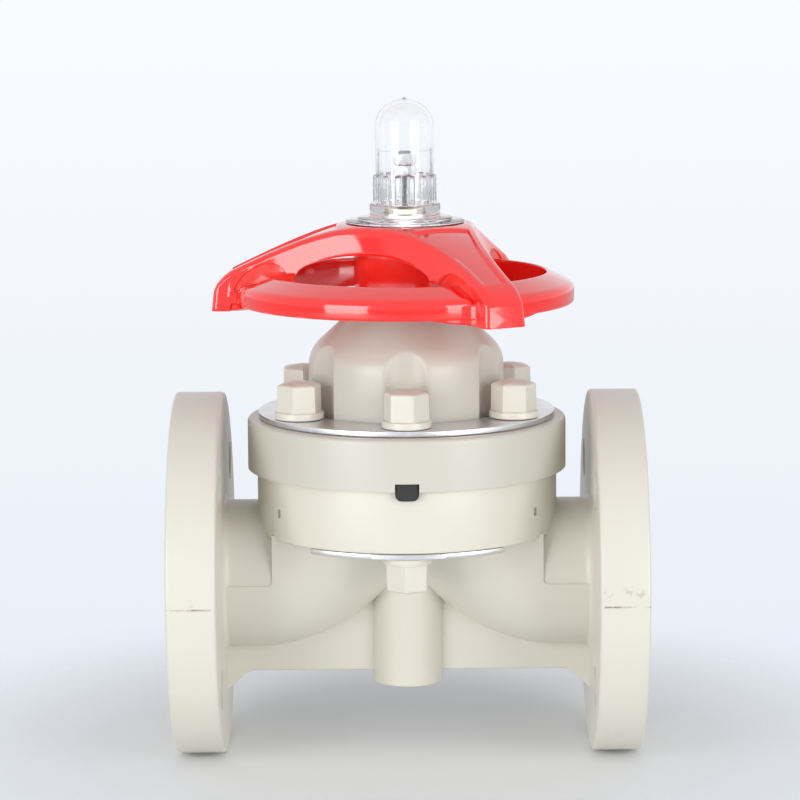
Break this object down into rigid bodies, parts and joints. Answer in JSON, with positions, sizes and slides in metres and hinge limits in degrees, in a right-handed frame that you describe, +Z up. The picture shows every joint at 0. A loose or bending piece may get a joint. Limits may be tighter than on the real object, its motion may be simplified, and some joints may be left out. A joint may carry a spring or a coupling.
{
  "type": "diaphragm valve",
  "caption": "Flanged weir diaphragm valve with a moulded body, bolted bonnet, capped bolts, red handwheel and a clear dome over its rising position rod.",
  "frame": {"origin": "on the floor under the crossing of the pipe axis and the stem axis", "axes": "+X along the pipe, +Y to the back, +Z up along the stem"},
  "size_m": [0.21, 0.1644, 0.2977],
  "materials": {
    "grey_plastic": "satin moulded plastic, light warm grey",
    "red_plastic": "glossy moulded plastic, bright red",
    "clear_plastic": "clear moulded plastic",
    "black_rubber": "matt moulded rubber",
    "zinc_steel": "zinc-plated steel",
    "brass": "turned brass"
  },
  "bodies": {
    "body": {"valve_body": "grey_plastic", "bonnet": "grey_plastic", "bonnet_ring_plate": "zinc_steel", "bolt_cap_1": "grey_plastic", "bolt_cap_2": "grey_plastic", "bolt_cap_3": "grey_plastic", "bolt_cap_4": "grey_plastic", "bolt_cap_5": "grey_plastic", "bolt_cap_6": "grey_plastic", "lower_plate_front": "zinc_steel", "lower_plate_rear": "zinc_steel", "lower_nut_cap_front": "grey_plastic", "lower_nut_cap_rear": "grey_plastic", "diaphragm": "black_rubber", "captive_nut_1": "zinc_steel", "captive_nut_2": "zinc_steel", "captive_nut_3": "zinc_steel", "captive_nut_4": "zinc_steel", "bonnet_bolt_1": "zinc_steel", "bonnet_bolt_2": "zinc_steel", "bonnet_bolt_3": "zinc_steel", "bonnet_bolt_4": "zinc_steel", "bonnet_bolt_5": "zinc_steel", "bonnet_bolt_6": "zinc_steel", "lower_nut_front": "zinc_steel", "lower_nut_rear": "zinc_steel", "thrust_washer_lower": "zinc_steel", "thrust_washer_upper": "zinc_steel", "gland_ring": "brass", "sleeve_seal": "black_rubber"},
    "wheel": {"handwheel": "red_plastic", "indicator_cover": "clear_plastic", "stem_sleeve": "brass", "wheel_washer": "zinc_steel", "wheel_nut": "zinc_steel"},
    "stem": {"stem": "zinc_steel", "compressor": "grey_plastic", "compressor_pin": "zinc_steel", "diaphragm_stud": "zinc_steel", "indicator_rod": "zinc_steel", "stop_nut_lower": "zinc_steel", "stop_nut_upper": "zinc_steel"}
  },
  "joints": [
    {"name": "handwheel_turn", "type": "hinge", "parent": "body", "child": "wheel", "pos_m": [0, 0, 0.20599], "axis": [0, 0, 1], "range_deg": [-1296, 900]},
    {"name": "stem_lift", "type": "slide", "parent": "body", "child": "stem", "axis": [0, 0, 1], "range_m": [-0.0144, 0.01], "deforming": ["diaphragm"]}
  ],
  "couplings": [
    {"joint": "stem_lift", "follows": "handwheel_turn", "m_per_rad": 0.00063662}
  ]
}
